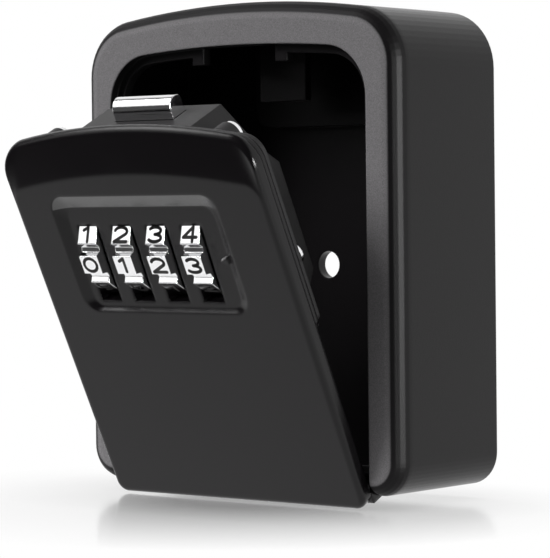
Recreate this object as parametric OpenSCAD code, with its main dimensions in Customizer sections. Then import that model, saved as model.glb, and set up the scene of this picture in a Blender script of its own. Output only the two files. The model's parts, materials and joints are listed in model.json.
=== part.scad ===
// Wall key safe: a cast box, a door that drops forward on a bottom hinge,
// four number dials, and a sprung latch that the right code sets free.
// Millimetres. X runs to the right, Y runs back to the wall and Z is up.
// The origin is the middle of the back face, which lies on the wall.
// Sub-parts are drawn with Y counted from the front face and Z from the bottom.

/* [Box] */
// Width of the box
box_w = 95; // [93:0.5:105]
// Height of the box at the crown of its top
box_h = 114; // [112:0.5:125]
// Depth of the box from its front face to the wall
box_d = 38.5; // [38:0.5:50]
// Radius of the shallow arch of the top
top_arch_r = 248; // [200:1:400]
// Radius of the two top corners
top_corner_r = 13.7; // [11:0.1:16]
// Radius of the two bottom corners
bottom_corner_r = 8; // [6:0.5:10]
// Rounding of the front edge
front_edge_r = 4; // [2:0.5:5]
// Thickness of the cast walls
wall = 2.8; // [2:0.1:3.2]
// Width of the front frame beside the opening
frame_side = 8.5; // [7:0.5:10]
// Width of the front frame above the opening
frame_top = 10; // [8:0.5:12]
// Radius of the top corners of the opening
opening_corner_r = 12; // [10:0.5:14]
// Radius of the shallow arch of the opening
opening_arch_r = 330; // [250:5:500]
// Rounding of the foot of each frame leg
leg_corner_r = 3; // [1:0.5:4]

/* [Stop lip] */
// Depth of the rebate that the door closes into
rebate_d = 2.4; // [2.3:0.1:3]
// Thickness of the stop lip
lip_t = 2.5; // [1.5:0.1:3]
// Height of the stop lip from the rebate wall
lip_w = 2; // [1:0.1:2.4]
// Height of the lower end of the side lips
lip_low = 8; // [6:0.5:20]
// Width of the finger gap in the top lip
finger_gap_w = 22; // [20:0.5:26]
// Width of the tab at each side of the finger gap
tab_w = 3.4; // [2:0.1:5]
// Length of each tab below the lip
tab_drop = 2.2; // [1:0.1:2.6]

/* [Back wall] */
// Width of the raised pad at the top of the back wall
pad_w = 39; // [30:1:60]
// Height of the raised pad from the crown of the box
pad_h = 28.5; // [20:0.5:34]
// Thickness of the raised pad
pad_t = 3.5; // [1:0.5:5]
// Radius of the lower corners of the raised pad
pad_corner_r = 4; // [2:0.5:8]
// Radius of the middle wall hole
centre_hole_r = 3.3; // [2.5:0.1:4]
// Distance of the middle wall hole below the middle of the box
centre_hole_drop = 5.3; // [0:0.1:12]
// Radius of the four wall screw holes
screw_hole_r = 2.6; // [2:0.1:3.2]
// Spacing of the wall screw holes, across and up the box
screw_d = 48; // [30:1:60]

/* [Hinge] */
// Distance of the hinge line behind the front face
hinge_y = 8.5; // [8:0.1:9.5]
// Height of the hinge line
hinge_z = 2.8; // [2.8:0.1:3.4]
// Radius of the hinge pin
pin_r = 1; // [0.7:0.05:1.2]
// Outer radius of the hinge barrel along the foot of the door
barrel_r = 2; // [1.8:0.1:2.2]
// Thickness of the flange from the door plate to the barrel
flange_t = 2.8; // [2:0.1:3.2]
// Length of the box lug at each end of the barrel
lug_w = 4.6; // [3:0.1:5]
// Angle that the door stands open
door_open = 26.44; // [0:0.01:60]

/* [Door] */
// Gap between the door and the side of the opening
door_gap = 1.15; // [0.8:0.05:1.6]
// Gap between the top of the door and the opening
door_top_gap = 6.5; // [6:0.1:8]
// Height of the lower edge of the closed door
door_low = 1.15; // [0.6:0.05:1.6]
// Distance that the closed door stands proud of the frame
door_proud = 1.5; // [0.5:0.1:2]
// Thickness of the door plate
door_t = 3.5; // [3.2:0.1:3.8]
// Rounding of the edges of the door
door_edge_r = 1.2; // [0.8:0.1:1.6]
// Radius of the top corners of the door
door_top_r = 7.7; // [6:0.1:9]
// Radius of the bottom corners of the door
door_bottom_r = 3; // [2:0.5:6]
// Radius of the shallow arch of the top of the door
door_arch_r = 180; // [160:1:250]
// Distance from the top of the door down to its bevel
fold_drop = 10.6; // [9:0.05:10.8]
// Angle by which the bevel at the top of the door leans back
bend_angle = 10; // [7:0.5:10]
// Radius of the bend below the bevel
bend_r = 6; // [3:0.5:8]
// Radius of the corners where the bevel runs out at the sides
bend_end_r = 4; // [3:0.5:6]

/* [Dial window] */
// Width of the sunken window beyond the dial row
window_spare = 13.1; // [12.5:0.1:14]
// Height of the sunken window
window_h = 30; // [28:0.5:31]
// Distance from the top of the door down to the lower edge of the window
window_drop = 45.85; // [45:0.05:46.5]
// Shift of the window from the middle
window_x = -1.5; // [-3:0.25:0]
// Radius of the corners of the window
window_r = 4; // [3:0.5:6]
// Depth of the window floor at its lower edge
window_low_d = 1; // [0.5:0.1:1.2]
// Depth of the window floor at its upper edge
window_high_d = 1.7; // [1.4:0.1:2.4]
// Length of the slope at the upper edge of the window
window_slope = 3.7; // [3:0.1:5]
// Width of the slope at each side of the window
window_side = 2.5; // [1:0.1:2.5]
// Height of the slope at the lower edge of the window
window_foot = 0.65; // [0.4:0.05:1]
// Thickness of the pad behind the window
window_pad = 1.2; // [1.2:0.1:1.4]

/* [Dials] */
// Radius of the dials at the corners of the number faces
dial_r = 11.75; // [11.4:0.05:11.85]
// Part of the dial spacing that each dial fills
dial_share = 0.526; // [0.5:0.002:0.54]
// Shift of the dial row from the middle
dial_x = -3; // [-4:0.25:-2.5]
// Distance of the dial axle behind the front face
axle_y = 8.5; // [8.5:0.1:8.7]
// Distance from the top of the door down to the dial axle
axle_drop = 32.85; // [32.6:0.05:33.2]
// Radius of the dial axle
axle_r = 1.25; // [1:0.05:1.5]
// Half of the angle that a number face spans
face_half = 10.9; // [9:0.1:12]
// Depth of the grooves between the number faces
groove_d = 1.3; // [0.8:0.1:1.6]
// Radius at which the driving notches lie
notch_ring_r = 3.8; // [3.7:0.05:3.9]
// Width of the driving notches
notch_w = 1.2; // [1.1:0.05:1.3]
// Length of the driving notches
notch_l = 1.8; // [1.6:0.05:1.8]

/* [Code sleeves] */
// Outer radius of the sleeve hubs
hub_r = 2.4; // [2:0.05:2.5]
// Radius of the sleeve cams
cam_r = 4.9; // [4.7:0.05:4.95]
// Thickness of the sleeve cams
cam_t = 1.5; // [1.2:0.1:1.6]
// Length of the driving dog on each cam
dog_len = 1; // [0.8:0.05:1.1]
// Width of the driving dog
dog_w = 0.8; // [0.5:0.05:0.9]
// Travel of the sleeves when the code is reset
reset_travel = 1.3; // [1:0.05:1.35]
// Length of the last hub beyond its dial
last_hub = 1.9; // [1.8:0.1:2.2]

/* [Latch] */
// Travel of the latch when it is pressed
latch_travel = 2.4; // [2.2:0.05:2.4]
// Width of the latch button
button_w = 17.4; // [15:0.1:18]
// Thickness of the latch button
button_t = 4.6; // [4:0.1:5]
// Height of the latch button above the lock cover
button_h = 4.7; // [4:0.05:6]
// Radius of the front of the latch button
button_r = 2.6; // [2:0.1:2.9]
// Width of the latch hook
hook_w = 9.2; // [6:0.1:10]
// Overlap of the latch hook behind the catch
hook_bite = 1.5; // [1.2:0.05:1.5]
// Thickness of the catch that hangs from the top of the box
catch_t = 2; // [1.5:0.1:2.5]
// Width of the catch
catch_w = 14; // [12:0.5:20]
// Thickness of the fence teeth
tooth_t = 1.1; // [0.8:0.05:1.2]
// Depth of the fence teeth
tooth_d = 2.2; // [1.8:0.1:2.4]
// Diameter of the latch springs over the wire
spring_od = 3.6; // [3:0.1:4]
// Wire thickness of the springs
wire_d = 0.5; // [0.4:0.05:0.6]
// Length of the latch springs
spring_len = 7.2; // [6:0.1:8]
// Distance of each latch spring from the middle
spring_x = 12; // [11.5:0.1:12.5]

/* [Lock cover] */
// Depth of the rim on the back of the door
rim_h = 2.5; // [2:0.1:3]
// Thickness of the rim
rim_t = 2; // [1.5:0.1:2.5]
// Inset of the rim from the edge of the door
rim_inset = 1.2; // [1:0.1:1.6]
// Distance from the top of the door down to the lower edge of the rim
rim_drop = 53; // [52:0.1:54]
// Thickness of the cover plate
cover_t = 2.5; // [2:0.1:3]
// Inset of the cover plate from the edge of the rim
cover_inset = 1.4; // [1:0.1:1.8]
// Thickness of the walls of the lock case
case_wall = 1.5; // [1.2:0.1:1.6]
// Distance from the top of the door down to the top of the lock case
case_drop = 2.8; // [2.6:0.1:3.4]
// Half of the width of the top of the lock case
case_top_half = 17; // [16:0.5:18]
// Depth of the upper part of the lock case
case_upper_y = 17.5; // [17:0.1:18]
// Radius of the heads of the cover screws
screw_head_r = 2.8; // [2.2:0.1:2.9]
// Height of the heads of the cover screws
screw_head_h = 2; // [1.5:0.1:2.4]
// Radius of the shanks of the cover screws
screw_r = 1.25; // [1:0.05:1.5]
// Length of the shanks of the cover screws
screw_len = 5.4; // [5:0.1:5.8]
// Distance of the lower cover screws from the edge of the cover
screw_edge = 3; // [3:0.1:3.4]
// Distance from the top of the door down to the lower cover screws
low_screw_drop = 35.5; // [28:0.1:38]
// Distance of the upper cover screws from the middle
high_screw_x = 25.5; // [25:0.5:26.5]
// Distance from the top of the door down to the upper cover screws
high_screw_drop = 6.1; // [5.5:0.1:6.2]
// Height of the bosses under the upper cover screws
high_boss_h = 1; // [0.5:0.1:1.5]

/* [Reset lever] */
// Thickness of the reset lever
lever_t = 1.2; // [1:0.05:1.2]
// Height of the reset lever
lever_h = 7; // [6:0.5:9]
// Length of the lever tab outside the lock cover
lever_tab = 2; // [1:0.1:3]

/* [Detent spring] */
// Thickness of the detent spring
leaf_t = 0.5; // [0.3:0.05:0.6]
// Width of each detent finger
finger_w = 4; // [3:0.1:4.5]
// Radius of the detent bumps
bump_r = 0.8; // [0.6:0.05:0.9]
// Radius of the detent rivets
rivet_r = 1; // [0.8:0.1:1.2]

/* [Hidden] */

// Clearances
run_fit = 0.05;
seat_fit = 0.03;
part_gap = 0.4;
close_gap = 0.25;
past = 1;
skin = 0.01;

// Smoothness of the arcs
$fn = 64;
corner_steps = 12;
arch_steps = 16;
edge_steps = 5;
bend_steps = 3;

// Outline of the box and of its opening
open_half = box_w / 2 - frame_side;
open_crown = box_h - frame_top;
cavity_y = rebate_d + lip_t;
back_y = box_d - wall;
centre_hole_z = box_h / 2 - centre_hole_drop;

// Door
door_half = open_half - door_gap;
door_crown = open_crown - door_top_gap;
face_y = -door_proud;
door_back_y = face_y + door_t;
bend_lead = bend_r * tan(bend_angle / 2);
edge_land = 0.12;
top_edge_r = (door_t - edge_land - fold_drop * tan(bend_angle))
             / (cos(bend_angle) - (1 - sin(bend_angle)) * tan(bend_angle));
lean_l = (fold_drop - top_edge_r * (1 - sin(bend_angle))) / cos(bend_angle);
top_edge_y = lean_l * sin(bend_angle) + top_edge_r * cos(bend_angle);
door_rings = bend_steps + 1 + edge_steps;

// Hinge
floor_y = hinge_y + barrel_r + part_gap;
lug_x = door_half + part_gap;
pin_half = lug_x + lug_w;

// Lock cover on the back of the door, and its screws
rim_half = door_half - rim_inset;
rim_crown = door_crown - rim_inset;
rim_low = door_crown - rim_drop;
rim_fillet = 1;
rim_corner_r = rim_t + rim_fillet;
rim_y = door_back_y + rim_h;
plate_y = rim_y + cover_t;
case_top_z = door_crown - case_drop;
cover_half = rim_half - cover_inset;
boss_y = plate_y + high_boss_h;
boss_r = screw_head_r + part_gap;
low_screw_x = cover_half - screw_edge;
low_screw_z = door_crown - low_screw_drop;
high_screw_z = door_crown - high_screw_drop;
screws = [[low_screw_x, low_screw_z, plate_y], [-low_screw_x, low_screw_z, plate_y],
          [high_screw_x, high_screw_z, boss_y], [-high_screw_x, high_screw_z, boss_y]];

// Dial row: it takes the width that the left screw and the left bearing rib leave
dial_count = 4;
digit_count = 10;
digit_step = 360 / digit_count;
rib_t = 2.2;
cam_gap = close_gap;
case_left = boss_r + run_fit - low_screw_x;
rib_left_x = case_left + case_wall + part_gap + rib_t;
dial_1_left = rib_left_x + part_gap + reset_travel + cam_t + cam_gap;
dial_pitch = (dial_x - dial_1_left) / ((dial_count - 1) / 2 + dial_share / 2);
dial_w = dial_share * dial_pitch;
row_left = dial_1_left + dial_w / 2;
row_right = row_left + (dial_count - 1) * dial_pitch;
axle_z = door_crown - axle_drop;

// Window around the dial row
window_back_y = door_back_y + window_pad;
window_low = door_crown - window_drop;
window_w = row_right - row_left + dial_w + window_spare;

// Dials and sleeves
cam_left = -dial_w / 2 - cam_gap - cam_t;
hub_len = dial_pitch - run_fit;
last_hub_len = dial_w / 2 + last_hub - cam_left;
gate_w = tooth_d + 2 * part_gap;
gate_floor = 0.2;
gate_r = hub_r + gate_floor;
groove_share = 0.55;
slot_half = sqrt(pow(dial_r, 2) - pow(axle_y - window_back_y, 2)) + close_gap;
mark_gap = 3.2;
mark_l = 2.2;
mark_half = 0.9;

// Bearing ribs of the axle
lever_x = row_right + dial_w / 2 + last_hub + run_fit;
rib_right_x = lever_x + lever_t + part_gap;
rib_r = 3.6;
axle_left_x = rib_left_x - rib_t + part_gap;
clip_t = 0.6;
clip_r = 2.5;
clip_x = rib_right_x + rib_t + run_fit;
axle_right_x = clip_x + clip_t + part_gap;
clip_groove_d = 0.3;
clip_mouth = 0.8;
groove_r = axle_r - clip_groove_d;
spring_pocket = 1.4;

// Lock case walls
detent_room = 3.9;
case_spare = 1.5;
case_slope_h = 6;
case_right = axle_right_x + part_gap + case_wall;
case_rear_y = axle_y + dial_r + part_gap + case_wall;
dial_low_z = axle_z - dial_r;
case_low_z = dial_low_z - detent_room - case_wall;
case_slope_z = axle_z + dial_r + case_spare;
case_upper_z = case_slope_z + case_slope_h;
case_chamfer = 3.4;

// Latch
fence_gap = 0.35;
spring_seat = 2.8;
web_inset = 0.9;
web_t = 2.8;
catch_gap = 1.1;
hook_gap = 0.3;
arm_gap = 2.9;
arm_h = 2.4;
hook_chamfer = 1.6;
guide_gap = 1;
latch_turns = 6;
return_turns = 3;
fence_low_z = axle_z + cam_r + fence_gap;
bar_low_z = axle_z + dial_r + latch_travel + part_gap;
bar_h = 2.2;
shoulder_top_z = case_top_z - case_wall - part_gap;
shoulder_h = 2.2;
shoulder_low_z = shoulder_top_z - shoulder_h;
shoulder_half = spring_x + spring_seat;
button_y = 10.1;
button_back_y = button_y + button_t;
button_flat = 0.1;
button_back_r = button_t - button_r - button_flat;
button_top_z = case_top_z + button_h;
web_y = button_y + web_inset;
web_back_y = web_y + web_t;
spring_y = (web_y + web_back_y) / 2;
shelf_z = shoulder_low_z - spring_len;
shelf_t = 1.4;
catch_y = case_upper_y + catch_gap;
catch_back_y = catch_y + catch_t;
hook_y = catch_back_y + hook_gap;
hook_t = 2.2;
hook_top_z = shoulder_top_z;
catch_low_z = hook_top_z - hook_bite;
arm_top_z = catch_low_z - arm_gap;
arm_low_z = arm_top_z - arm_h;

// Detent spring under the dials
leaf_w = 3.6;
bump_rise = 0.1;
rivet_head_r = 1.6;
rivet_head_h = 0.6;
leaf_z = case_low_z + case_wall;
leaf_back_y = case_rear_y - case_wall - case_chamfer;
leaf_front_y = leaf_back_y - leaf_w;
leaf_left = row_left - dial_w / 2;
leaf_right = row_right + dial_w / 2;
bump_z = dial_low_z + bump_rise;

function dial_at(i) = row_left + i * dial_pitch;

// Points of an arc about c, from angle a to angle b
function arc_points(c, r, a, b, steps) =
    [for (i = [0:steps]) let (t = a + (b - a) * i / steps) [c[0] + r * cos(t), c[1] + r * sin(t)]];

// Upright panel with round corners and a shallow arch for its top
function panel(half, low, crown, arch_r, top_r, low_r) =
    let (arch_z = crown - arch_r,
         corner_x = half - top_r,
         corner_z = arch_z + sqrt(pow(arch_r - top_r, 2) - pow(corner_x, 2)),
         meet = atan2(corner_z - arch_z, corner_x),
         arch = arc_points([0, arch_z], arch_r, meet, 180 - meet, arch_steps))
    concat(arc_points([half - low_r, low + low_r], low_r, -90, 0, corner_steps),
           arc_points([corner_x, corner_z], top_r, 0, meet, corner_steps),
           [for (i = [1:arch_steps - 1]) arch[i]],
           arc_points([-corner_x, corner_z], top_r, 180 - meet, 180, corner_steps),
           arc_points([-half + low_r, low + low_r], low_r, 180, 270, corner_steps));

function box_panel(t) =
    panel(box_w / 2 - t, t, box_h - t, top_arch_r - t, top_corner_r - t, bottom_corner_r - t);
function opening_panel(t) =
    panel(open_half - t, -2 * bottom_corner_r, open_crown - t, opening_arch_r - t, opening_corner_r - t, past);
function door_panel(t) =
    panel(door_half - t, door_low + t, door_crown - t, door_arch_r - t, door_top_r - t, door_bottom_r - t);
function rim_panel(t) =
    panel(rim_half - t, rim_low + t, rim_crown - t, door_arch_r - t, door_top_r - rim_inset - t, rim_corner_r - t);

// Top of the door in ring j, as [distance below the crown, distance behind the face]
function top_profile(j) =
    j <= bend_steps
    ? let (a = bend_angle * j / bend_steps) [fold_drop + bend_lead - bend_r * sin(a), bend_r * (1 - cos(a))]
    : let (a = bend_angle + (90 - bend_angle) * (j - bend_steps - 1) / edge_steps)
      [top_edge_r * (1 - sin(a)), top_edge_y - top_edge_r * cos(a)];

// How far each point of an outline belongs to the top of the door, from 0 to 1
function top_weights() =
    let (rise = [for (i = [0:corner_steps]) pow(sin(90 * i / corner_steps), 2)],
         foot = [for (i = [0:corner_steps]) 0])
    concat(foot, rise, [for (i = [1:arch_steps - 1]) 1], [for (i = [0:corner_steps]) rise[corner_steps - i]], foot);

// Ring j of the door plate: ring 0 bounds the flat face, and the last one is the full outline
function door_ring(j) =
    let (a = 90 * j / door_rings,
         inset = door_edge_r * (1 - sin(a)),
         side_y = door_edge_r * (1 - cos(a)),
         top = top_profile(j),
         corner_r = bend_end_r + (door_top_r - bend_end_r) * (1 - top[0] / top_profile(0)[0]),
         outline = panel(door_half - inset, door_low + inset, door_crown - top[0], door_arch_r, corner_r,
                         door_bottom_r - inset),
         weights = top_weights())
    [for (k = [0:len(outline) - 1])
     [outline[k][0], face_y + side_y + (top[1] - side_y) * weights[k], outline[k][1]]];

// Places for pieces of the box and of the door
module in_box() { translate([0, -box_d, -box_h / 2]) children(); }
module on_door()
{
    in_box()
        translate([0, hinge_y, hinge_z])
            rotate([door_open, 0, 0])
                translate([0, -hinge_y, -hinge_z]) children();
}

// Box between two corners given as [low, high] along each axis
module block(x, y, z)
{
    translate([x[0], y[0], z[0]]) cube([x[1] - x[0], y[1] - y[0], z[1] - z[0]]);
}

// A flat shape in X and Z, drawn out along Y
module slab(y0, y1) { translate([0, y1, 0]) rotate([90, 0, 0]) linear_extrude(y1 - y0) children(); }

// A flat shape in Y and Z, drawn out along X
module bar(x0, x1) { translate([x0, 0, 0]) rotate([90, 0, 90]) linear_extrude(x1 - x0) children(); }

// A round rod along X at a given Y and Z
module rod(x0, x1, y, z, r) { translate([x0, y, z]) rotate([0, 90, 0]) cylinder(h = x1 - x0, r = r); }

// A round rod along Y at a given X and Z
module peg(y0, y1, x, z, r) { translate([x, y1, z]) rotate([90, 0, 0]) cylinder(h = y1 - y0, r = r); }

module both_sides() { children(); mirror([1, 0, 0]) children(); }

// One side of a coil spring's wire, as a closed tube along Z
module coil(length, od, wire, turns)
{
    sides = 6;
    rings_a_turn = 8;
    rings = rings_a_turn * turns;
    coil_r = (od - wire) / 2;
    rise = length - wire;
    slope = atan2(rise / turns, 2 * PI * coil_r);
    points = [for (k = [0:rings]) let (a = 360 * turns * k / rings)
              for (s = [0:sides - 1]) let (b = 360 * s / sides, u = wire / 2 * cos(b), v = wire / 2 * sin(b))
              [(coil_r + u) * cos(a) + v * sin(slope) * sin(a),
               (coil_r + u) * sin(a) - v * sin(slope) * cos(a),
               wire / 2 + rise * k / rings + v * cos(slope)]];
    walls = [for (k = [0:rings - 1], s = [0:sides - 1])
             let (a = k * sides + s, b = k * sides + (s + 1) % sides, c = a + sides, d = b + sides)
             each [[a, c, b], [b, c, d]]];
    first = [for (s = [1:sides - 2]) [0, s, s + 1]];
    base = rings * sides;
    last = [for (s = [1:sides - 2]) [base, base + s + 1, base + s]];
    polyhedron(points, concat(walls, first, last));
}

// Cast box: outer form, cavity, opening, lip, catch, hinge lugs and wall holes
module box_outside()
{
    hull()
        for (i = [0:edge_steps]) {
            a = 90 * i / edge_steps;
            slab(front_edge_r * (1 - sin(a)), box_d) polygon(box_panel(front_edge_r * (1 - cos(a))));
        }
}

module opening_cut()
{
    slab(-past, rebate_d) polygon(opening_panel(0));
    slab(-past, cavity_y + past) polygon(opening_panel(lip_w));
    block([-finger_gap_w / 2, finger_gap_w / 2], [-past, cavity_y + past],
          [open_crown - 3 * lip_w, open_crown - close_gap]);
    block([-open_half, open_half], [-past, floor_y], [-past, lip_low]);
}

module leg_feet_cut()
{
    both_sides()
        slab(-past, cavity_y + past)
            difference() {
                translate([open_half - past, -past]) square(past + leg_corner_r);
                translate([open_half + leg_corner_r, leg_corner_r]) circle(leg_corner_r);
            }
}

module body_shell()
{
    color([0.12, 0.12, 0.13])
    in_box()
        difference() {
            union() {
                difference() {
                    box_outside();
                    slab(cavity_y, back_y) polygon(box_panel(wall));
                    opening_cut();
                    leg_feet_cut();
                }
                intersection() {
                    box_outside();
                    union() {
                        back_pad();
                        hanging_catch();
                        lip_tabs();
                        hinge_lugs();
                    }
                }
            }
            rod(-pin_half, pin_half, hinge_y, hinge_z, pin_r + seat_fit);
            wall_holes();
        }
}

module back_pad()
{
    low = box_h - pad_h;
    slab(back_y - pad_t, back_y + wall / 2)
        polygon(concat([[pad_w / 2, box_h], [-pad_w / 2, box_h]],
                       arc_points([-pad_w / 2 + pad_corner_r, low + pad_corner_r], pad_corner_r, 180, 270,
                                  corner_steps),
                       arc_points([pad_w / 2 - pad_corner_r, low + pad_corner_r], pad_corner_r, 270, 360,
                                  corner_steps)));
}

module hanging_catch()
{
    block([-catch_w / 2, catch_w / 2], [catch_y, catch_back_y], [catch_low_z, box_h - wall / 2]);
}

module lip_tabs()
{
    both_sides()
        block([finger_gap_w / 2, finger_gap_w / 2 + tab_w], [rebate_d, cavity_y],
              [open_crown - lip_w - tab_drop, open_crown]);
}

module hinge_lugs()
{
    both_sides() {
        rod(lug_x, lug_x + lug_w, hinge_y, hinge_z, barrel_r);
        block([lug_x, lug_x + lug_w], [hinge_y - barrel_r, hinge_y + barrel_r], [wall / 2, hinge_z]);
    }
}

module wall_holes()
{
    peg(back_y - pad_t, box_d + past, 0, centre_hole_z, centre_hole_r);
    for (x = [-1, 1], z = [-1, 1])
        peg(back_y - past, box_d + past, x * screw_d / 2, centre_hole_z + z * screw_d / 2, screw_hole_r);
}

module hinge_pin()
{
    half = pin_half - run_fit;
    color([0.7, 0.7, 0.72]) in_box() rod(-half, half, hinge_y, hinge_z, pin_r);
}

// Door: plate with a bevelled top, rim, bearing ribs, spring shelves and hinge barrel
module door_plate()
{
    front = [for (j = [0:door_rings]) each door_ring(j)];
    sides = len(door_ring(0));
    back = [for (p = door_ring(door_rings)) [p[0], door_back_y, p[2]]];
    walls = [for (j = [0:door_rings], k = [0:sides - 1])
             let (a = j * sides + k, b = j * sides + (k + 1) % sides, c = a + sides, d = b + sides)
             each [[a, b, c], [b, d, c]]];
    face = [for (k = [0:sides - 1]) sides - 1 - k];
    rear = [for (k = [0:sides - 1]) (door_rings + 1) * sides + k];
    polyhedron(concat(front, back), concat(walls, [face, rear]));
}

module window_cut()
{
    floor_low = window_low + window_foot;
    floor_high = window_low + window_h - window_slope;
    rise = floor_high - floor_low;
    tilt = atan2(window_high_d - window_low_d, rise);
    hull() {
        translate([window_x, face_y - past, window_low]) rounded_plate(window_w, window_h, past, window_r);
        translate([window_x, face_y + window_low_d, floor_low])
            rotate([-tilt, 0, 0])
                translate([0, -close_gap, 0])
                    rounded_plate(window_w - 2 * window_side, rise / cos(tilt), close_gap,
                                  window_r - window_foot);
    }
}

// Upright plate with round corners, standing on Z = 0 and centred on X = 0
module rounded_plate(w, h, t, r)
{
    slab(0, t)
        polygon(concat(arc_points([w / 2 - r, r], r, -90, 0, corner_steps),
                       arc_points([w / 2 - r, h - r], r, 0, 90, corner_steps),
                       arc_points([-w / 2 + r, h - r], r, 90, 180, corner_steps),
                       arc_points([-w / 2 + r, r], r, 180, 270, corner_steps)));
}

module dial_slots()
{
    half = dial_w / 2 + part_gap;
    for (i = [0:dial_count - 1]) {
        block([dial_at(i) - half, dial_at(i) + half], [face_y - past, plate_y], [axle_z - slot_half, axle_z]);
        rod(dial_at(i) - half, dial_at(i) + half, axle_y, axle_z, dial_r + close_gap);
    }
}

module rim()
{
    difference() {
        slab(door_back_y - skin, rim_y) polygon(rim_panel(0));
        slab(0, rim_y + past) polygon(rim_panel(rim_t));
    }
    for (s = screws) peg(door_back_y - skin, rim_y, s[0], s[1], screw_r + rim_t);
}

module bearing_ribs()
{
    for (x = [rib_left_x - rib_t, rib_right_x]) {
        rod(x, x + rib_t, axle_y, axle_z, rib_r);
        block([x, x + rib_t], [door_back_y - skin, axle_y], [axle_z - rib_r, axle_z + rib_r]);
    }
}

module bearing_bores()
{
    rod(axle_left_x - run_fit, axle_right_x, axle_y, axle_z, axle_r + seat_fit);
    rod(rib_left_x - spring_pocket, rib_left_x + past, axle_y, axle_z, hub_r + part_gap);
}

module latch_guides()
{
    both_sides()
        block([button_w / 2 + part_gap, shoulder_half], [door_back_y - skin, web_back_y + part_gap],
              [shelf_z - shelf_t, shelf_z]);
    block([-button_w / 4, button_w / 4], [door_back_y - skin, web_y - close_gap], [shelf_z, shelf_z + shelf_t]);
}

// Flange along the foot of the door, with the hinge barrel at its back edge
module hinge_barrel()
{
    rod(-door_half, door_half, hinge_y, hinge_z, barrel_r);
    block([-door_half, door_half], [door_back_y - skin, hinge_y], [door_low, door_low + flange_t]);
}

module index_mark()
{
    mark_x = row_right + dial_w / 2 + mark_gap;
    slab(face_y, door_back_y)
        polygon([[mark_x, axle_z], [mark_x + mark_l, axle_z + mark_half], [mark_x + mark_l, axle_z - mark_half]]);
}

module door_shell()
{
    color([0.1, 0.1, 0.11])
    on_door()
        difference() {
            union() {
                difference() {
                    union() {
                        door_plate();
                        block([case_left + case_wall, case_right - case_wall], [door_back_y - skin, window_back_y],
                              [window_low, window_low + window_h]);
                    }
                    window_cut();
                }
                intersection() {
                    index_mark();
                    translate([0, -part_gap, 0]) mark_floor();
                }
                rim();
                bearing_ribs();
                latch_guides();
                hinge_barrel();
            }
            dial_slots();
            bearing_bores();
            rod(-box_w, box_w, hinge_y, hinge_z, pin_r + run_fit);
            for (s = screws) peg(s[2] - screw_len - run_fit, s[2], s[0], s[1], screw_r + seat_fit);
        }
}

// Everything behind the sloping floor of the window
module mark_floor()
{
    floor_low = window_low + window_foot;
    rise = window_h - window_slope - window_foot;
    tilt = atan2(window_high_d - window_low_d, rise);
    translate([0, face_y + window_low_d, floor_low])
        rotate([-tilt, 0, 0]) block([-box_w, box_w], [0, box_d], [-box_h, box_h]);
}

// Lock cover: plate on the rim, with the hollow case over the dials
module case_form(inset)
{
    top = case_top_z - inset;
    intersection() {
        slab(0, case_rear_y + past)
            polygon([[case_left + inset, case_low_z + inset], [case_right - inset, case_low_z + inset],
                     [case_right - inset, case_upper_z], [case_top_half - inset, top],
                     [-case_top_half + inset, top], [case_left + inset, case_upper_z]]);
        bar(case_left - past, case_right + past)
            polygon([[rim_y, case_low_z + inset], [case_rear_y - case_chamfer - inset / 2, case_low_z + inset],
                     [case_rear_y - inset, case_low_z + case_chamfer + inset / 2],
                     [case_rear_y - inset, case_slope_z], [case_upper_y - inset, case_upper_z],
                     [case_upper_y - inset, top], [rim_y, top]]);
    }
}

module lock_cover()
{
    color([0.07, 0.07, 0.075])
    on_door()
        difference() {
            union() {
                difference() {
                    union() {
                        slab(rim_y, plate_y) polygon(rim_panel(cover_inset));
                        case_form(0);
                        for (s = screws) peg(rim_y, s[2], s[0], s[1], boss_r);
                    }
                    translate([0, -skin, 0]) case_form(case_wall);
                    block([case_left + case_wall, case_right - case_wall], [rim_y - past, plate_y],
                          [case_low_z + case_wall, case_upper_z]);
                }
                cover_guides();
            }
            cover_slots();
            for (s = screws) peg(0, s[2] + past, s[0], s[1], screw_r + part_gap);
        }
}

// Ribs that keep the latch upright
module cover_guides()
{
    both_sides()
        block([hook_w / 2 + guide_gap, button_w / 2], [web_back_y + close_gap, case_upper_y - case_wall / 2],
              [case_upper_z, shoulder_low_z - latch_travel - part_gap]);
}

module cover_slots()
{
    block([-button_w / 2 - close_gap, button_w / 2 + close_gap],
          [button_y - close_gap, button_back_y + close_gap], [shoulder_top_z - past, case_top_z + past]);
    block([-hook_w / 2 - part_gap, hook_w / 2 + part_gap], [web_back_y + close_gap, case_rear_y + past],
          [arm_low_z - latch_travel - part_gap, hook_top_z + close_gap]);
    block([lever_x - reset_travel - close_gap, lever_x + lever_t + close_gap],
          [case_rear_y - case_wall - past, case_rear_y + past],
          [axle_z - lever_h / 2 - close_gap, axle_z + lever_h / 2 + close_gap]);
}

module cover_screws()
{
    color([0.75, 0.75, 0.77])
    on_door()
        for (s = screws)
            translate([s[0], s[2], s[1]])
                rotate([-90, 0, 0])
                    difference() {
                        union() {
                            intersection() {
                                cylinder(h = screw_head_h, r = screw_head_r);
                                translate([0, 0, screw_head_h - 2 * screw_head_r]) sphere(2 * screw_head_r);
                            }
                            translate([0, 0, -screw_len]) cylinder(h = screw_len + skin, r = screw_r);
                        }
                        for (a = [0, 90]) rotate(a) cross_slot();
                    }
}

module cross_slot()
{
    slot_l = 3;
    slot_w = 0.7;
    slot_d = 1.1;
    translate([-slot_l / 2, -slot_w / 2, screw_head_h - slot_d]) cube([slot_l, slot_w, slot_d + past]);
}

// Dial: ten number faces with grooves between them, and ten notches for the dog
function dial_point(k, part) =
    let (mid = digit_step * k,
         low_half = face_half + (digit_step / 2 - face_half) * groove_share,
         a = mid + [-low_half, -face_half, face_half, low_half][part],
         r = [dial_r - groove_d, dial_r, dial_r, dial_r - groove_d][part])
    [-r * cos(a), r * sin(a)];

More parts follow.
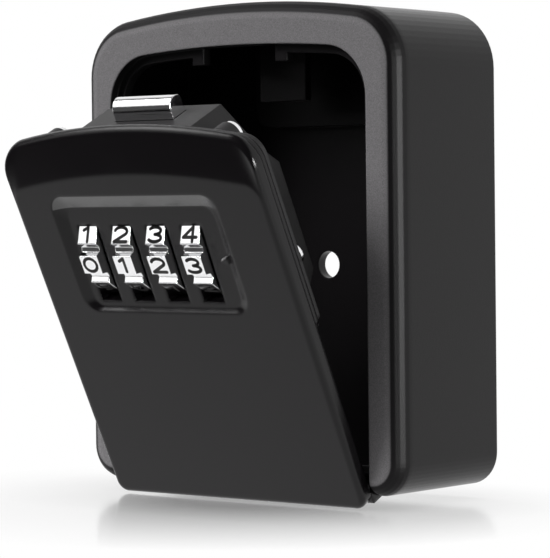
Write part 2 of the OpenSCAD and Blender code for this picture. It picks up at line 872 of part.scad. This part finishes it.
module dial(i)
{
    color([0.82, 0.82, 0.84])
    on_door()
        translate([dial_at(i), axle_y, axle_z])
            difference() {
                bar(-dial_w / 2, dial_w / 2)
                    polygon([for (k = [0:digit_count - 1], part = [0:3]) dial_point(k, part)]);
                rod(-dial_w, dial_w, 0, 0, hub_r + run_fit);
                for (k = [0:digit_count - 1])
                    rotate([digit_step * k, 0, 0])
                        block([-dial_w / 2 - past, -dial_w / 2 + dog_len], [-notch_w / 2, notch_w / 2],
                              [-notch_ring_r - notch_l / 2, -notch_ring_r + notch_l / 2]);
            }
}

// Code sleeve: hub on the axle, cam with its gate and a false notch, and the dog
module code_sleeve(i)
{
    right = i == dial_count - 1 ? cam_left + last_hub_len : cam_left + hub_len;
    color([0.78, 0.68, 0.42])
    on_door()
        translate([dial_at(i), axle_y, axle_z])
            difference() {
                union() {
                    rod(cam_left, right, 0, 0, hub_r);
                    rod(cam_left, cam_left + cam_t, 0, 0, cam_r);
                    block([cam_left + cam_t / 2, cam_left + cam_t + dog_len], [-dog_w / 2, dog_w / 2],
                          [-notch_ring_r - dog_w / 2, -notch_ring_r + dog_w / 2]);
                }
                rod(cam_left - past, right + past, 0, 0, axle_r + run_fit);
                for (a = [0, -90])
                    rotate([a, 0, 0])
                        block([cam_left - past, cam_left + cam_t + skin], [-gate_w / 2, gate_w / 2],
                              [gate_r, cam_r + past]);
            }
}

module dial_axle()
{
    color([0.7, 0.7, 0.72])
    on_door()
        difference() {
            rod(axle_left_x, axle_right_x, axle_y, axle_z, axle_r);
            difference() {
                rod(clip_x - run_fit, clip_x + clip_t + run_fit, axle_y, axle_z, 2 * axle_r);
                rod(clip_x - past, clip_x + clip_t + past, axle_y, axle_z, groove_r);
            }
        }
}

module axle_clip()
{
    color([0.55, 0.55, 0.57])
    on_door()
        difference() {
            rod(clip_x, clip_x + clip_t, axle_y, axle_z, clip_r);
            rod(clip_x - past, clip_x + clip_t + past, axle_y, axle_z, groove_r + seat_fit);
            block([clip_x - past, clip_x + clip_t + past], [axle_y - groove_r * clip_mouth, axle_y + groove_r * clip_mouth],
                  [axle_z, axle_z + 2 * clip_r]);
        }
}

// Latch: button, shoulders, web, fence bar with its teeth, and the hook
module latch()
{
    color([0.85, 0.85, 0.87])
    on_door() {
        bar(-button_w / 2, button_w / 2)
            polygon(concat([[button_back_y, shoulder_low_z]],
                           arc_points([button_back_y - button_back_r, button_top_z - button_back_r],
                                      button_back_r, 0, 90, corner_steps),
                           arc_points([button_y + button_r, button_top_z - button_r], button_r, 90, 180,
                                      corner_steps),
                           [[button_y, shoulder_low_z]]));
        block([-shoulder_half, shoulder_half], [web_y - part_gap, web_back_y + part_gap],
              [shoulder_low_z, shoulder_top_z]);
        block([-button_w / 2, button_w / 2], [web_y, web_back_y], [bar_low_z, shoulder_low_z + skin]);
        block([row_left + cam_left, row_right + cam_left + cam_t], [axle_y - tooth_d / 2, web_back_y],
              [bar_low_z, bar_low_z + bar_h]);
        for (i = [0:dial_count - 1]) {
            tooth_x = dial_at(i) + cam_left + cam_t / 2;
            block([tooth_x - tooth_t / 2, tooth_x + tooth_t / 2], [axle_y - tooth_d / 2, axle_y + tooth_d / 2],
                  [fence_low_z, bar_low_z + skin]);
        }
        bar(-hook_w / 2, hook_w / 2)
            polygon([[web_back_y - skin, arm_low_z], [hook_y + hook_t, arm_low_z],
                     [hook_y + hook_t, hook_top_z - hook_chamfer], [hook_y + hook_t / 4, hook_top_z],
                     [hook_y, hook_top_z], [hook_y, arm_top_z], [web_back_y - skin, arm_top_z]]);
    }
}

module latch_springs()
{
    color([0.6, 0.6, 0.62])
    on_door()
        both_sides()
            translate([spring_x, spring_y, shelf_z + run_fit])
                coil(spring_len - 2 * run_fit, spring_od, wire_d, latch_turns);
}

module sleeve_return_spring()
{
    start = rib_left_x - spring_pocket + run_fit;
    color([0.6, 0.6, 0.62])
    on_door()
        translate([start, axle_y, axle_z])
            rotate([0, 90, 0]) coil(row_left + cam_left - start - run_fit, 2 * hub_r, wire_d, return_turns);
}

// Reset lever: a plate that straddles the axle, with its tab through the cover
module reset_lever()
{
    color([0.35, 0.35, 0.37])
    on_door()
        difference() {
            block([lever_x, lever_x + lever_t], [axle_y - hub_r, case_rear_y + lever_tab],
                  [axle_z - lever_h / 2, axle_z + lever_h / 2]);
            rod(lever_x - past, lever_x + lever_t + past, axle_y, axle_z, axle_r + run_fit);
        }
}

// Detent spring: a strip on the floor of the case with a finger under each dial
module detent_spring()
{
    color([0.7, 0.7, 0.72])
    on_door()
        difference() {
            union() {
                block([leaf_left, leaf_right], [leaf_front_y, leaf_back_y], [leaf_z, leaf_z + leaf_t]);
                for (i = [0:dial_count - 1])
                    bar(dial_at(i) - finger_w / 2, dial_at(i) + finger_w / 2) detent_finger();
            }
            for (x = [row_left, row_right])
                translate([x, (leaf_front_y + leaf_back_y) / 2, leaf_z - past])
                    cylinder(h = leaf_t + 2 * past, r = rivet_r + seat_fit);
        }
}

module detent_finger()
{
    union() {
        polygon([[leaf_front_y + skin, leaf_z], [leaf_front_y + skin, leaf_z + leaf_t],
                 [axle_y, bump_z], [axle_y - 2 * bump_r, bump_z],
                 [axle_y - 2 * bump_r, bump_z - leaf_t], [axle_y, bump_z - leaf_t]]);
        intersection() {
            translate([axle_y, bump_z]) circle(bump_r);
            translate([axle_y - bump_r, bump_z - leaf_t / 2]) square(2 * bump_r);
        }
    }
}

module detent_rivets()
{
    color([0.7, 0.7, 0.72])
    on_door()
        for (x = [row_left, row_right])
            translate([x, (leaf_front_y + leaf_back_y) / 2, leaf_z]) {
                cylinder(h = leaf_t + skin, r = rivet_r);
                translate([0, 0, leaf_t]) cylinder(h = rivet_head_h, r = rivet_head_r);
            }
}

body_shell();
hinge_pin();
door_shell();
lock_cover();
cover_screws();
dial_axle();
axle_clip();
for (i = [0:dial_count - 1]) dial(i);
for (i = [0:dial_count - 1]) code_sleeve(i);
latch();
latch_springs();
reset_lever();
sleeve_return_spring();
detent_spring();
detent_rivets();
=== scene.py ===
import json
import math

import bmesh
import bpy
from mathutils import Matrix, Vector

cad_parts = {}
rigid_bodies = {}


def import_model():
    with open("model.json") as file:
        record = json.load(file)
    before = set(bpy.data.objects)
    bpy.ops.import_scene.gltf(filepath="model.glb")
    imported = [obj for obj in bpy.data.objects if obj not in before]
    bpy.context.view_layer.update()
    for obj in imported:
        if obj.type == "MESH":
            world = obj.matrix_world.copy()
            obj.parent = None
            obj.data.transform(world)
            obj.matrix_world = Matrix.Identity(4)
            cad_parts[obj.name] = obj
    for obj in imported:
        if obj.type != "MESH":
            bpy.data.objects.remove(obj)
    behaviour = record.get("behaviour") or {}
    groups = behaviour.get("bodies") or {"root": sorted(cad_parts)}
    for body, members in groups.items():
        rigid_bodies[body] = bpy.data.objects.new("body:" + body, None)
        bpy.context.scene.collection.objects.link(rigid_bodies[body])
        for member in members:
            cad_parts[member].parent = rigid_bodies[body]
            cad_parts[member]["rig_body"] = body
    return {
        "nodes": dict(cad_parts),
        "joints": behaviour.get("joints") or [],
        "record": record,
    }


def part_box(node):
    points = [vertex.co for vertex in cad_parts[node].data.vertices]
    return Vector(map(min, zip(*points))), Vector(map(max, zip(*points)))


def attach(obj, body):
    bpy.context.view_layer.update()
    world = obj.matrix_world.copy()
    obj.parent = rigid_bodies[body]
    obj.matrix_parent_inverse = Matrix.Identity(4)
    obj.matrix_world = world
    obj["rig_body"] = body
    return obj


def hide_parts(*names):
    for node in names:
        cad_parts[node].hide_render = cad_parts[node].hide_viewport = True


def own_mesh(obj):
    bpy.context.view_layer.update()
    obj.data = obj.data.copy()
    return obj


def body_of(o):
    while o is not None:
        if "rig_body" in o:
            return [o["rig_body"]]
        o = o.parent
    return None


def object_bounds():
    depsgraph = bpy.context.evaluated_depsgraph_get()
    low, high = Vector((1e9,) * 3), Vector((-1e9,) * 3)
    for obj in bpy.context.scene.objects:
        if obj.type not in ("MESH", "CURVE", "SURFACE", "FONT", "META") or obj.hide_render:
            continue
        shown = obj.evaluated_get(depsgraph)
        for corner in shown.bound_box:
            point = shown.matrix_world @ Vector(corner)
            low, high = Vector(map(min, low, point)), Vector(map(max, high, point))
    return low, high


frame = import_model()
CAD_LOW, CAD_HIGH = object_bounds()
NODES = frame["nodes"]
JOINTS = {joint["name"]: joint for joint in frame["joints"]}
MM = 0.001


# The door's place, from its hinge and the box
def door_turn():
    """The turn from the closed door to the part open one."""
    closed, _ = JOINTS["door_hinge"]["range_deg"]
    return Matrix.Rotation(math.radians(-closed), 4, "X")


def door_matrix():
    """Takes points of the closed door, measured from the box's front and bottom, to the frame."""
    low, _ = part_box("body_shell")
    hinge = Matrix.Translation(JOINTS["door_hinge"]["pos_m"])
    return hinge @ DOOR_TURN @ hinge.inverted() @ Matrix.Translation((0, low.y, low.z))


DOOR_TURN = door_turn()
DOOR = door_matrix()
DOOR_INWARD = DOOR_TURN.to_3x3() @ Vector((0, 1, 0))
DOOR_UP = DOOR_TURN.to_3x3() @ Vector((0, 0, 1))
SIDEWAYS = Vector((1, 0, 0))


# Shader nodes
class Tree:
    """Adds nodes to one shader node tree and joins them."""

    def __init__(self, node_tree):
        self.nodes = node_tree.nodes
        self.links = node_tree.links
        self.nodes.clear()

    def add(self, kind, **inputs):
        """A new node with these inputs, in whose names an underscore stands for a space."""
        made = self.nodes.new(kind)
        for name, value in inputs.items():
            self.put(made, name.replace("_", " "), value)
        return made

    def put(self, made, socket, value):
        """Links an output to a node's input, or writes a plain value there."""
        if isinstance(value, bpy.types.NodeSocket):
            self.links.new(value, made.inputs[socket])
        else:
            made.inputs[socket].default_value = value


MATH = "ShaderNodeMath"
VECTOR_MATH = "ShaderNodeVectorMath"
BEVEL_SAMPLES = 6
GRAIN_DETAIL = 2.0
BRUSH_DETAIL = 3.0
PATCH_DETAIL = 4.0
NOISE_LOW = 0.3
NOISE_HIGH = 0.7


def new_material(name):
    made = bpy.data.materials.new(name)
    made.use_nodes = True
    return made, Tree(made.node_tree)


def finish_surface(tree, **inputs):
    """Ends a material with a surface shader that has these inputs."""
    shader = tree.add("ShaderNodeBsdfPrincipled", **inputs)
    tree.add("ShaderNodeOutputMaterial", Surface=shader.outputs["BSDF"])


def position(tree):
    """The place of a surface point, in metres in the frame at rest."""
    return tree.add("ShaderNodeTexCoord").outputs["Object"]


def coordinates(tree):
    """The X, Y and Z outputs of a surface point's place."""
    return tree.add("ShaderNodeSeparateXYZ", Vector=position(tree)).outputs


def noise(tree, place, scale, detail):
    return tree.add("ShaderNodeTexNoise", Vector=place, Scale=scale, Detail=detail).outputs["Fac"]


def calculate(tree, kind, operation, *values):
    """The number that a Math or Vector Math node works out."""
    made = tree.add(kind)
    made.operation = operation
    for socket, value in enumerate(values):
        tree.put(made, socket, value)
    return made.outputs["Value"]


def multiply(tree, first, second):
    return calculate(tree, MATH, "MULTIPLY", first, second)


def ramp(tree, value, start, end, low=0.0, high=1.0, blend="LINEAR"):
    """Goes from low to high while a value goes from start to end."""
    step = tree.add("ShaderNodeMapRange", Value=value, From_Min=start, From_Max=end,
                    To_Min=low, To_Max=high)
    step.interpolation_type = blend
    return step.outputs["Result"]


def two_tones(tree, factor, dark, pale):
    """Colour that goes from dark to pale with a factor."""
    tone = tree.add("ShaderNodeValToRGB", Fac=factor)
    first, last = tone.color_ramp.elements
    first.color = (*dark, 1)
    last.color = (*pale, 1)
    return tone.outputs["Color"]


def patchy(tree, scale, low, high):
    """A value that drifts softly over the surface between low and high."""
    drift = noise(tree, position(tree), scale, PATCH_DETAIL)
    return ramp(tree, drift, NOISE_LOW, NOISE_HIGH, low, high)


def rounded_normal(tree, radius):
    """A normal that makes sharp edges look rounded."""
    bevel = tree.add("ShaderNodeBevel", Radius=radius)
    bevel.samples = BEVEL_SAMPLES
    return bevel.outputs["Normal"]


def grain(tree, scale, height, normal):
    """Fine bumps of a powder coat or a moulded skin, and how high each spot of them is."""
    speck = noise(tree, position(tree), scale, GRAIN_DETAIL)
    bump = tree.add("ShaderNodeBump", Strength=1.0, Distance=height, Height=speck, Normal=normal)
    return bump.outputs["Normal"], speck


def distance_along(tree, direction, start):
    """How far a point lies beyond a point of the closed door, along a direction."""
    along = calculate(tree, VECTOR_MATH, "DOT_PRODUCT", position(tree), direction)
    return calculate(tree, MATH, "SUBTRACT", along, (DOOR @ Vector(start)).dot(direction))


# Black coat of the door and the lock cover
COAT_BLACK = ((0.0028, 0.0022, 0.0028), (0.0052, 0.0044, 0.0052))
COVER_BLACK = ((0.01, 0.0094, 0.01), (0.02, 0.019, 0.02))
COAT_PATCHES = 90.0
COAT_SPECULAR = 0.25
SLOPE_SPECULAR = 1.0
DOOR_FRONT_Y = -1.5 * MM
SLOPE_LOW = 77.95 * MM
SLOPE_HEIGHT = 3.8 * MM
SLOPE_HALF = 30 * MM
SLOPE_BLEND = 0.08 * MM


def door_shine(tree):
    """More gloss on the window's upper slope, which lies behind the door's front plane."""
    depth = distance_along(tree, DOOR_INWARD, (0, DOOR_FRONT_Y, 0))
    height = distance_along(tree, DOOR_UP, (0, DOOR_FRONT_Y, SLOPE_LOW))
    aside = calculate(tree, MATH, "ABSOLUTE", coordinates(tree)["X"])
    sunk = ramp(tree, depth, SLOPE_BLEND, 2 * SLOPE_BLEND)
    above = ramp(tree, height, -SLOPE_BLEND, SLOPE_BLEND)
    below = ramp(tree, height, SLOPE_HEIGHT, SLOPE_HEIGHT + SLOPE_BLEND, 1.0, 0.0)
    inside = ramp(tree, aside, SLOPE_HALF, SLOPE_HALF + SLOPE_BLEND, 1.0, 0.0)
    on_slope = multiply(tree, multiply(tree, sunk, above), multiply(tree, below, inside))
    return ramp(tree, on_slope, 0.0, 1.0, COAT_SPECULAR, SLOPE_SPECULAR)


def coat_material(name, tones, roughness, edge, scale, height, shine=None):
    """Black coat with soft patches of gloss and a fine skin."""
    made, tree = new_material(name)
    normal, speck = grain(tree, scale, height, rounded_normal(tree, edge))
    finish_surface(
        tree,
        Base_Color=two_tones(tree, speck, *tones),
        Roughness=patchy(tree, COAT_PATCHES, *roughness),
        Specular_IOR_Level=shine(tree) if shine else COAT_SPECULAR,
        Normal=normal,
    )
    return made


# Coat of the box: smooth sides, and a grained front frame whose paler tone is partly the coat's own
# and partly painted light on the front
SIDE_TONES = ((0.004, 0.0036, 0.004), (0.008, 0.0072, 0.008))
SIDE_ROUGHNESS = 0.28
SIDE_SPECULAR = 0.18
# The front frame's paler tones are partly the grained coat's own colour and partly painted light that
# makes the front look lit
FRONT_GRAIN_AND_PAINTED_LIGHT_TONES = ((0.065, 0.063, 0.065), (0.215, 0.208, 0.215))
FRONT_ROUGHNESS = 0.45
FRONT_SPECULAR = 0.1
FRONT_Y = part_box("body_shell")[0].y
GRAIN_AND_PAINTED_LIGHT_START = FRONT_Y + 0.4 * MM
GRAIN_AND_PAINTED_LIGHT_END = FRONT_Y + 0.1 * MM
TURN_START = FRONT_Y + 5.5 * MM
TURN_END = FRONT_Y + 3.5 * MM
BOX_EDGE = 0.6 * MM
BOX_GRAIN_SCALE = 4200.0
BOX_GRAIN_HEIGHT = 0.03 * MM

# Sockets of a Mix node that mixes colours
MIX_FACTOR = 0
MIX_FIRST_COLOUR = 6
MIX_SECOND_COLOUR = 7
MIX_COLOUR = 2


def mix_colours(tree, factor, first, second):
    """Goes from the first colour to the second as the factor goes from 0 to 1."""
    mixed = tree.add("ShaderNodeMix")
    mixed.data_type = "RGBA"
    tree.put(mixed, MIX_FACTOR, factor)
    tree.put(mixed, MIX_FIRST_COLOUR, first)
    tree.put(mixed, MIX_SECOND_COLOUR, second)
    return mixed.outputs[MIX_COLOUR]


def box_material(name):
    made, tree = new_material(name)
    depth = coordinates(tree)["Y"]
    normal, speck = grain(tree, BOX_GRAIN_SCALE, BOX_GRAIN_HEIGHT, rounded_normal(tree, BOX_EDGE))
    # Paler front frame: the grained coat's own tone plus painted light on the front face
    pale = ramp(tree, depth, GRAIN_AND_PAINTED_LIGHT_START, GRAIN_AND_PAINTED_LIGHT_END, blend="SMOOTHSTEP")
    side = two_tones(tree, speck, *SIDE_TONES)
    front = two_tones(tree, speck, *FRONT_GRAIN_AND_PAINTED_LIGHT_TONES)
    finish_surface(
        tree,
        Base_Color=mix_colours(tree, pale, side, front),
        Roughness=ramp(tree, depth, TURN_START, TURN_END, SIDE_ROUGHNESS, FRONT_ROUGHNESS),
        Specular_IOR_Level=ramp(tree, depth, TURN_START, TURN_END, SIDE_SPECULAR, FRONT_SPECULAR),
        Normal=normal,
    )
    return made


# Metals and ink
CHROME_TONES = ((0.84, 0.84, 0.85), (0.9, 0.9, 0.91))
STEEL_TONES = ((0.5, 0.5, 0.52), (0.62, 0.62, 0.64))
BRASS_TONES = ((0.66, 0.47, 0.2), (0.77, 0.58, 0.28))
INK_TONES = ((0.004, 0.004, 0.004), (0.014, 0.013, 0.013))
SATIN = (0.24, 0.36)
MATT = (0.4, 0.6)
BRUSH_SCALES = (300.0, 4000.0, 4000.0)
METAL_PATCHES = 300.0
INK_PATCHES = 900.0


def metal_material(name, tones, roughness, edge):
    """Metal with fine brush lines along X and soft patches of gloss."""
    made, tree = new_material(name)
    stretched = tree.add("ShaderNodeMapping", Vector=position(tree), Scale=BRUSH_SCALES)
    lines = noise(tree, stretched.outputs["Vector"], 1.0, BRUSH_DETAIL)
    finish_surface(
        tree,
        Base_Color=two_tones(tree, lines, *tones),
        Metallic=1.0,
        Roughness=patchy(tree, METAL_PATCHES, *roughness),
        Normal=rounded_normal(tree, edge),
    )
    return made


def ink_material(name):
    """Matt black ink with a slightly uneven tone."""
    made, tree = new_material(name)
    finish_surface(
        tree,
        Base_Color=two_tones(tree, patchy(tree, INK_PATCHES, 0.0, 1.0), *INK_TONES),
        Roughness=patchy(tree, INK_PATCHES, *MATT),
    )
    return made


def paint(obj, made):
    obj.data.materials.clear()
    obj.data.materials.append(made)


MATERIALS = {
    "box_coat": box_material("box_coat"),
    "door_coat": coat_material("door_coat", COAT_BLACK, roughness=(0.19, 0.22), edge=1.0 * MM,
                               scale=1800.0, height=0.006 * MM, shine=door_shine),
    "cover_plastic": coat_material("cover_plastic", COVER_BLACK, roughness=(0.4, 0.5), edge=0.4 * MM,
                                   scale=2400.0, height=0.02 * MM),
    "chrome": metal_material("chrome", CHROME_TONES, roughness=(0.05, 0.11), edge=0.35 * MM),
    "steel": metal_material("steel", STEEL_TONES, roughness=SATIN, edge=0.1 * MM),
    "brass": metal_material("brass", BRASS_TONES, roughness=SATIN, edge=0.1 * MM),
}
NUMBER_BLACK = ink_material("number_black")

for part in frame["record"]["subparts"]:
    paint(NODES[part["node"]], MATERIALS[part["material_slot"]])


# Numbers on the dial faces, drawn with strokes in a box one unit high and wide
DIAL_COUNT = 4
DIGITS = 10
NUMBER_H = 3.35 * MM
NUMBER_W = 3.85 * MM
STROKE = 0.8 * MM
NUMBER_LIFT = 0.02 * MM
ARC_STEPS = 14
ROUND_STEPS = 10


def arc(centre, size, start, end):
    """Points of an oval arc between two angles in degrees."""
    x, y = centre
    half_w, half_h = size
    turns = [math.radians(start + (end - start) * step / ARC_STEPS) for step in range(ARC_STEPS + 1)]
    return [(x + half_w * math.cos(turn), y + half_h * math.sin(turn)) for turn in turns]


SIX = [arc((0, -0.18), (0.5, 0.32), 0, 360), arc((0.4, -0.18), (0.9, 0.68), 105, 180)]
DIGIT_STROKES = (
    [arc((0, 0), (0.5, 0.5), 0, 360)],
    [[(-0.3, 0.3), (0.05, 0.5), (0.05, -0.5)]],
    [arc((0, 0.2), (0.48, 0.3), 165, -35) + [(-0.5, -0.5), (0.5, -0.5)]],
    [arc((-0.02, 0.25), (0.45, 0.25), 150, -90), arc((-0.02, -0.25), (0.5, 0.25), 90, -150)],
    [[(0.2, -0.5), (0.2, 0.5), (-0.5, -0.2), (0.5, -0.2)]],
    [[(0.42, 0.5), (-0.38, 0.5), (-0.42, 0.05)] + arc((0, -0.17), (0.5, 0.33), 135, -150)],
    SIX,
    [[(-0.5, 0.5), (0.5, 0.5), (-0.15, -0.5)]],
    [arc((0, 0.25), (0.43, 0.25), 0, 360), arc((0, -0.25), (0.5, 0.25), 0, 360)],
    [[(-x, -y) for x, y in stroke] for stroke in SIX],
)


def add_object(name, data):
    made = bpy.data.objects.new(name, data)
    bpy.context.scene.collection.objects.link(made)
    return made


def add_face(drawn, corners):
    drawn.faces.new([drawn.verts.new(corner) for corner in corners])


def add_stroke(drawn, points):
    """One stroke of even width with round ends and corners, facing +Z."""
    half = STROKE / 2
    places = [Vector((x * NUMBER_W, y * NUMBER_H, 0)) for x, y in points]
    for start, end in zip(places, places[1:]):
        along = (end - start).normalized()
        side = Vector((-along.y, along.x, 0)) * half
        add_face(drawn, (start - side, end - side, end + side, start + side))
    turns = [2 * math.pi * step / ROUND_STEPS for step in range(ROUND_STEPS)]
    for place in places:
        add_face(drawn, [place + half * Vector((math.cos(turn), math.sin(turn), 0)) for turn in turns])


def number_mesh(digit):
    drawn = bmesh.new()
    for stroke in DIGIT_STROKES[digit]:
        add_stroke(drawn, stroke)
    mesh = bpy.data.meshes.new("digit")
    drawn.to_mesh(mesh)
    drawn.free()
    return mesh


DIGIT_MESHES = [number_mesh(digit) for digit in range(DIGITS)]


def dial_centre(node):
    """The point of a dial's axis at the middle of its width."""
    low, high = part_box(node)
    _, axis_y, axis_z = JOINTS[node + "_spin"]["pos_m"]
    return Vector(((low.x + high.x) / 2, axis_y, axis_z))


def dial_numbers(dial):
    """All the numbers of one dial: dial 1 shows 0 in front, dial 2 shows 1, and so on."""
    node = "dial_%d" % dial
    centre = dial_centre(node)
    face = max((centre - vertex.co).dot(DOOR_INWARD) for vertex in NODES[node].data.vertices)
    lift = Matrix.Translation((0, -face - NUMBER_LIFT, 0))
    upright = Matrix.Rotation(math.pi / 2, 4, "X")
    joined = bmesh.new()
    for step in range(DIGITS):
        turn = Matrix.Rotation(-2 * math.pi * step / DIGITS, 4, "X")
        mesh = DIGIT_MESHES[(dial - 1 + step) % DIGITS].copy()
        mesh.transform(Matrix.Translation(centre) @ DOOR_TURN @ turn @ lift @ upright)
        joined.from_mesh(mesh)
        bpy.data.meshes.remove(mesh)
    name = node + "_numbers"
    mesh = bpy.data.meshes.new(name)
    joined.to_mesh(mesh)
    joined.free()
    obj = add_object(name, mesh)
    paint(obj, NUMBER_BLACK)
    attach(obj, node)


for dial in range(1, DIAL_COUNT + 1):
    dial_numbers(dial)


# Coil springs, each shown by a copy of its node on the same body: node, joint and direction away from
# the fixed end
SPRINGS = (
    ("latch_springs", "latch_press", DOOR_UP),
    ("sleeve_return_spring", "reset_shift", SIDEWAYS),
)


def squash_spring(node, joint, axis):
    """Stands in for a spring's node with a copy on the same body, and hides the node."""
    source = NODES[node]
    coil = source.copy()
    coil.data = source.data.copy()
    coil.name = node + "_coil"
    bpy.context.scene.collection.objects.link(coil)
    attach(coil, body_of(source)[0])
    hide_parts(node)
    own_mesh(coil)


for spring in SPRINGS:
    squash_spring(*spring)


# Floor, with a mirror and a shadow that reach only a little way from the object
FLOOR_Z = CAD_LOW.z - 0.4 * MM
FLOOR_HALF = 3.0
FLOOR_MIRROR = 0.72
MIRROR_CENTRE = (0.0, -0.03, 0.0)
MIRROR_NEAR = 0.02
MIRROR_FAR = 0.098
MIRROR_FRONT = -0.02
MIRROR_BACK = 0.02
MIRROR_ROUGHNESS = 0.14
SHADOW_REACH = 0.03
SHADOW_TONE = 0.7
SHADOW_TONES = ((SHADOW_TONE, SHADOW_TONE, SHADOW_TONE), (1.0, 1.0, 1.0))
ROOM_DARK = 0.07
FLOOR_DARK_Y = -0.178
FLOOR_WHITE_Y = -0.14

# Sockets of a Mix Shader node
FIRST_SHADER = 1
SECOND_SHADER = 2


def mix_shaders(tree, factor, first, second):
    """Goes from the first shader to the second as the factor goes from 0 to 1."""
    mixed = tree.add("ShaderNodeMixShader", Fac=factor)
    tree.put(mixed, FIRST_SHADER, first)
    tree.put(mixed, SECOND_SHADER, second)
    return mixed.outputs["Shader"]


def is_camera_ray(tree):
    return tree.add("ShaderNodeLightPath").outputs["Is Camera Ray"]


def floor_mirror(tree, place):
    """Strength of the floor's reflection, which fades with the distance from the object."""
    level = tree.add("ShaderNodeCombineXYZ", X=place["X"], Y=place["Y"]).outputs["Vector"]
    away = calculate(tree, VECTOR_MATH, "DISTANCE", level, MIRROR_CENTRE)
    round_fade = ramp(tree, away, MIRROR_NEAR, MIRROR_FAR, FLOOR_MIRROR, 0.0)
    back_fade = ramp(tree, place["Y"], MIRROR_BACK, MIRROR_FRONT)
    return multiply(tree, round_fade, back_fade)


def floor_material():
    """The camera sees through it to the white world, with a soft shadow and a faint reflection.
    Other rays see a white floor that is dark towards the studio's front."""
    made, tree = new_material("floor")
    place = coordinates(tree)
    shade = tree.add("ShaderNodeAmbientOcclusion", Distance=SHADOW_REACH).outputs["AO"]
    clear = tree.add("ShaderNodeBsdfTransparent", Color=two_tones(tree, shade, *SHADOW_TONES))
    mirror = tree.add("ShaderNodeBsdfGlossy", Roughness=MIRROR_ROUGHNESS)
    seen = mix_shaders(tree, floor_mirror(tree, place), clear.outputs["BSDF"], mirror.outputs["BSDF"])
    tone = ramp(tree, place["Y"], FLOOR_DARK_Y, FLOOR_WHITE_Y, ROOM_DARK, 1.0)
    glow = tree.add("ShaderNodeEmission", Strength=tone).outputs["Emission"]
    both = mix_shaders(tree, is_camera_ray(tree), glow, seen)
    tree.add("ShaderNodeOutputMaterial", Surface=both)
    return made


def add_floor():
    sides = ((-1, -1), (1, -1), (1, 1), (-1, 1))
    corners = [(x * FLOOR_HALF, y * FLOOR_HALF, FLOOR_Z) for x, y in sides]
    mesh = bpy.data.meshes.new("floor")
    mesh.from_pydata(corners, [], [range(len(corners))])
    obj = add_object("floor", mesh)
    paint(obj, floor_material())


# Lights and the studio around them
LIGHT_AIM = Vector((0, -0.04, 0.02))
SKY_TILT = (0.0, 1.0, -0.25)
SKY_DARK_AT = -0.3
SKY_WHITE_AT = 0.15


def add_light(name, place, size, power, mirrored):
    """An area light, which either shows in reflections only or lights matt surfaces only."""
    data = bpy.data.lights.new(name, "AREA")
    data.shape = "RECTANGLE"
    data.size, data.size_y = size
    data.energy = power
    obj = add_object(name, data)
    obj.location = place
    obj.rotation_euler = (LIGHT_AIM - Vector(place)).to_track_quat("-Z", "Y").to_euler()
    obj.visible_glossy = mirrored
    obj.visible_diffuse = not mirrored


def add_world():
    """A white studio wall behind and at the sides, and a dark room behind the camera."""
    world = bpy.data.worlds.new("studio")
    world.use_nodes = True
    bpy.context.scene.world = world
    tree = Tree(world.node_tree)
    direction = tree.add("ShaderNodeTexCoord").outputs["Generated"]
    back = calculate(tree, VECTOR_MATH, "DOT_PRODUCT", direction, SKY_TILT)
    tone = ramp(tree, back, SKY_DARK_AT, SKY_WHITE_AT, ROOM_DARK, 1.0, blend="SMOOTHSTEP")
    seen = calculate(tree, MATH, "MAXIMUM", tone, is_camera_ray(tree))
    shine = tree.add("ShaderNodeBackground", Color=(1, 1, 1, 1), Strength=seen)
    tree.add("ShaderNodeOutputWorld", Surface=shine.outputs["Background"])


# The photo's camera, fitted to the box's edges
CAM_AZ = math.radians(38.989)
CAM_EL = math.radians(0.925)
CAM_ROLL = math.radians(-0.625)
CAM_DIST = 0.650
CAM_TARGET = Vector((0.0, -0.0185, -0.0010))
FOCAL_PX = 2704.99
CENTRE_PX = (13.2535, -30.797)
IMAGE_W = 550
SENSOR_MM = 36.0
CLIP_START = 0.05
CLIP_END = 20


def add_camera():
    """Turned towards the middle of the picture, which lies beside the point that the fit aims at."""
    level = math.cos(CAM_EL)
    towards = Vector((math.sin(CAM_AZ) * level, -math.cos(CAM_AZ) * level, math.sin(CAM_EL)))
    flat_right = Vector((math.cos(CAM_AZ), math.sin(CAM_AZ), 0))
    flat_up = flat_right.cross(-towards)
    right = math.cos(CAM_ROLL) * flat_right + math.sin(CAM_ROLL) * flat_up
    up = math.cos(CAM_ROLL) * flat_up - math.sin(CAM_ROLL) * flat_right
    aim = (-towards - right * CENTRE_PX[0] / FOCAL_PX + up * CENTRE_PX[1] / FOCAL_PX).normalized()
    side = aim.cross(up).normalized()
    top = side.cross(aim)
    data = bpy.data.cameras.new("camera")
    data.sensor_fit = "HORIZONTAL"
    data.sensor_width = SENSOR_MM
    data.lens = FOCAL_PX / IMAGE_W * SENSOR_MM
    data.clip_start = CLIP_START
    data.clip_end = CLIP_END
    obj = add_object("camera", data)
    turn = Matrix((side, top, -aim)).transposed()
    obj.matrix_world = Matrix.Translation(CAM_TARGET + towards * CAM_DIST) @ turn.to_4x4()
    bpy.context.scene.camera = obj


add_floor()
add_world()
add_light("key", place=(-0.45, -0.62, 0.52), size=(0.45, 0.35), power=11.5, mirrored=False)
add_light("softbox", place=(-0.58, -0.64, 0.36), size=(0.5, 0.4), power=0.8, mirrored=True)
add_light("overhead", place=(-0.5, -0.42, 0.66), size=(0.4, 0.4), power=3.2, mirrored=True)
add_light("side_strip", place=(0.75, -0.15, 0.06), size=(0.3, 0.25), power=13.0, mirrored=True)
add_camera()

bpy.context.scene.view_settings.view_transform = "Standard"
